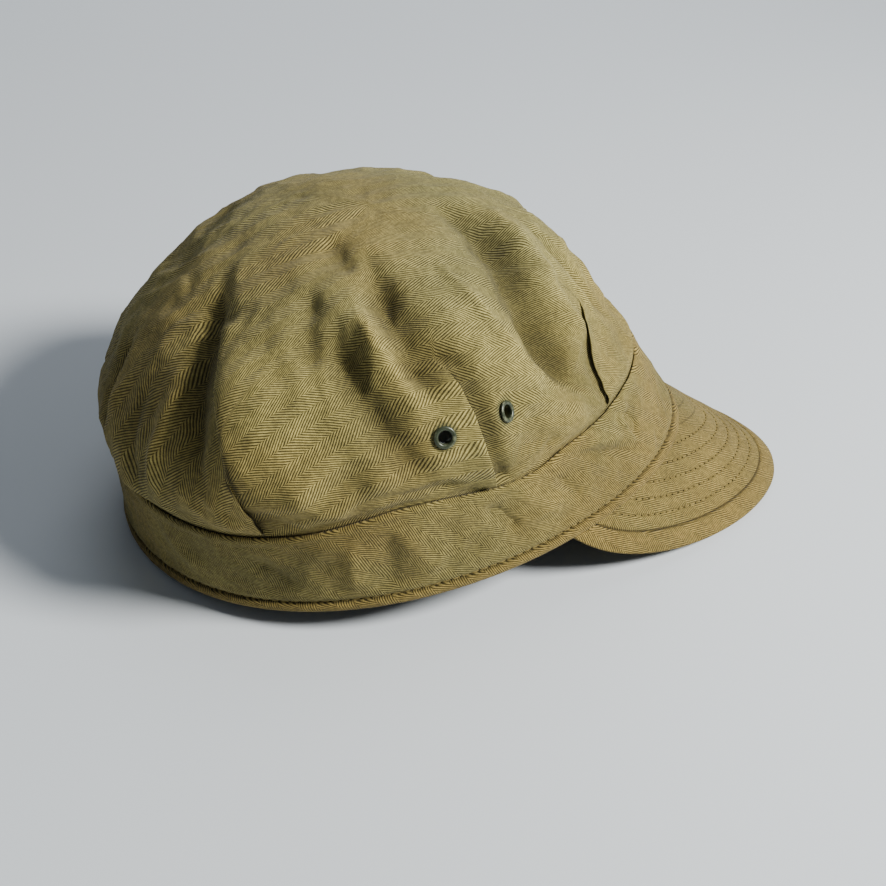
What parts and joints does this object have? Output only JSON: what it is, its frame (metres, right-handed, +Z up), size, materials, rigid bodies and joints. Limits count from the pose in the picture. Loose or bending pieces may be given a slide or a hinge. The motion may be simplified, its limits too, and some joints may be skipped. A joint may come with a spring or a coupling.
{
  "type": "field cap",
  "caption": "Soft cloth field cap with a pleated round crown, a sewn band, a short drooping peak and metal eyelets.",
  "frame": {"origin": "centre of the cap's bounding box, on the flat surface that it stands on", "axes": "+X forwards along the peak, +Y to the wearer's left, +Z up"},
  "size_m": [0.2554, 0.1676, 0.1133],
  "materials": {
    "crown_cloth": "washed olive herringbone cotton, matt",
    "band_cloth": "washed olive herringbone cotton cut across the crown's weave, matt",
    "peak_cloth": "washed olive herringbone cotton over a stiff ply, rows of stitches, matt",
    "eyelet_metal": "dark green enamel, worn, half gloss"
  },
  "bodies": {
    "root": {"crown": "crown_cloth", "band": "band_cloth", "peak": "peak_cloth", "eyelet_right_front": "eyelet_metal", "eyelet_right_rear": "eyelet_metal", "eyelet_left_front": "eyelet_metal", "eyelet_left_rear": "eyelet_metal"}
  },
  "joints": []
}
